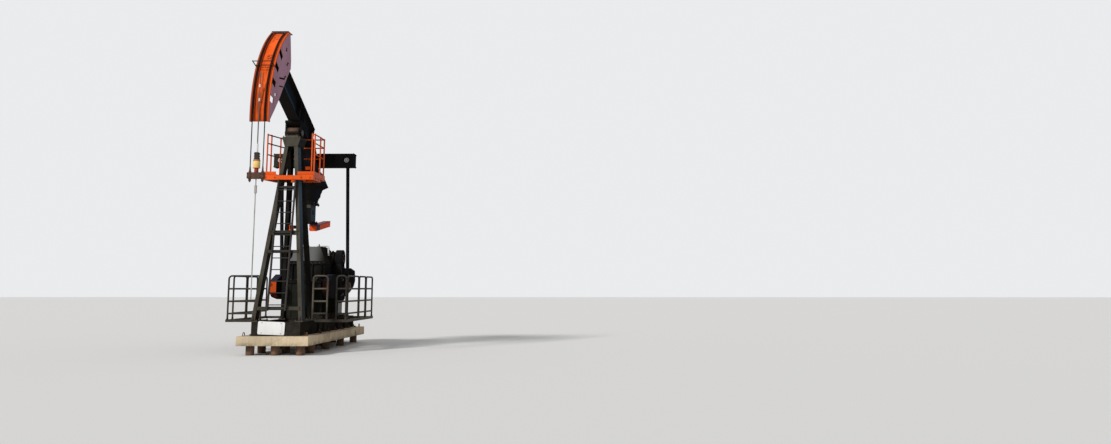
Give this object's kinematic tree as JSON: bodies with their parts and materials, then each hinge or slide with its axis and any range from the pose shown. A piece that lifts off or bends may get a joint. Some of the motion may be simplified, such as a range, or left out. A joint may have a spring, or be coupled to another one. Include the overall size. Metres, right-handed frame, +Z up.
{
  "type": "pumpjack",
  "caption": "Oilfield beam pumping unit on a skid, with a ladder and orange platform on its post, an orange curved horsehead with a wireline hanger, an equalizer and counterweighted cranks.",
  "frame": {"origin": "On the ground under the saddle bearing, on the central plane of the unit.", "axes": "+Z up, +Y from the well towards the drive end, +X to the right seen from the well, in metres."},
  "size_m": [3.34, 8.12, 8.4203],
  "materials": {
    "concrete": "weathered concrete with dust and stains",
    "rusty_pile": "rusted steel pipe",
    "black_paint": "weathered black paint with dust",
    "orange_paint": "faded orange paint, chipped and dusty",
    "grey_steel": "dull galvanised steel",
    "rusty_steel": "rust over worn paint",
    "dark_casting": "oily dark casting",
    "wire_rope": "greasy steel wire rope",
    "bright_rod": "polished steel rod",
    "yellow_paint": "yellow paint, worn",
    "white_paint": "dusty white paint",
    "motor_grey": "grey blue machine paint",
    "faded_paint": "faded orange paint with a mauve chalky film"
  },
  "bodies": {
    "base": {"foundation_slab": "concrete", "pile_stubs": "rusty_pile", "skid": "black_paint", "post_front_legs": "black_paint", "post_rear_legs": "black_paint", "post_cap": "black_paint", "saddle_block": "rusty_steel", "ladder": "grey_steel", "platform_deck": "orange_paint", "platform_rails": "orange_paint", "gearbox": "dark_casting", "gearbox_pedestal": "dark_casting", "belt_guard": "black_paint", "motor": "motor_grey", "brake": "rusty_steel", "crank_guard_left": "grey_steel", "crank_guard_right": "grey_steel", "skid_board": "white_paint", "vent_pipe": "white_paint"},
    "beam": {"walking_beam": "black_paint", "saddle_bracket": "black_paint", "horsehead_face": "orange_paint", "horsehead_sides": "faded_paint", "horsehead_bracket": "black_paint", "wire_guard": "rusty_steel", "arc_wires": "wire_rope", "tail_bracket": "black_paint", "balance_arm": "black_paint", "balance_weight": "orange_paint"},
    "carrier": {"carrier_bar": "rusty_steel", "load_cell": "yellow_paint", "rod_clamp": "grey_steel", "polished_rod": "bright_rod", "free_wires": "wire_rope"},
    "pitmans": {"equalizer": "black_paint", "pitmans": "black_paint", "wrist_bearings": "rusty_steel"},
    "cranks": {"crankshaft": "rusty_steel", "crank_left": "black_paint", "crank_right": "black_paint", "crank_weight_left": "black_paint", "crank_weight_right": "black_paint"}
  },
  "joints": [
    {"name": "beam_rock", "type": "hinge", "parent": "base", "child": "beam", "pos_m": [0, 0, 5.95], "axis": [1, 0, 0], "range_deg": [0, 46.5]},
    {"name": "crank_turn", "type": "hinge", "parent": "base", "child": "cranks", "pos_m": [0, 2.45, 2.6], "axis": [1, 0, 0], "range_deg": [0, 182]},
    {"name": "pitman_swing", "type": "hinge", "parent": "beam", "child": "pitmans", "pos_m": [0, 2.13, 5.48], "axis": [1, 0, 0], "range_deg": [-45, 0]},
    {"name": "rod_stroke", "type": "slide", "parent": "base", "child": "carrier", "axis": [0, 0, -1], "range_m": [0, 2.345], "deforming": ["free_wires"]}
  ],
  "couplings": [
    {"joint": "crank_turn", "follows": "beam_rock", "ratio": 3.9039},
    {"joint": "pitman_swing", "follows": "beam_rock", "ratio": -0.96407},
    {"joint": "rod_stroke", "follows": "beam_rock", "m_per_rad": 2.885}
  ]
}
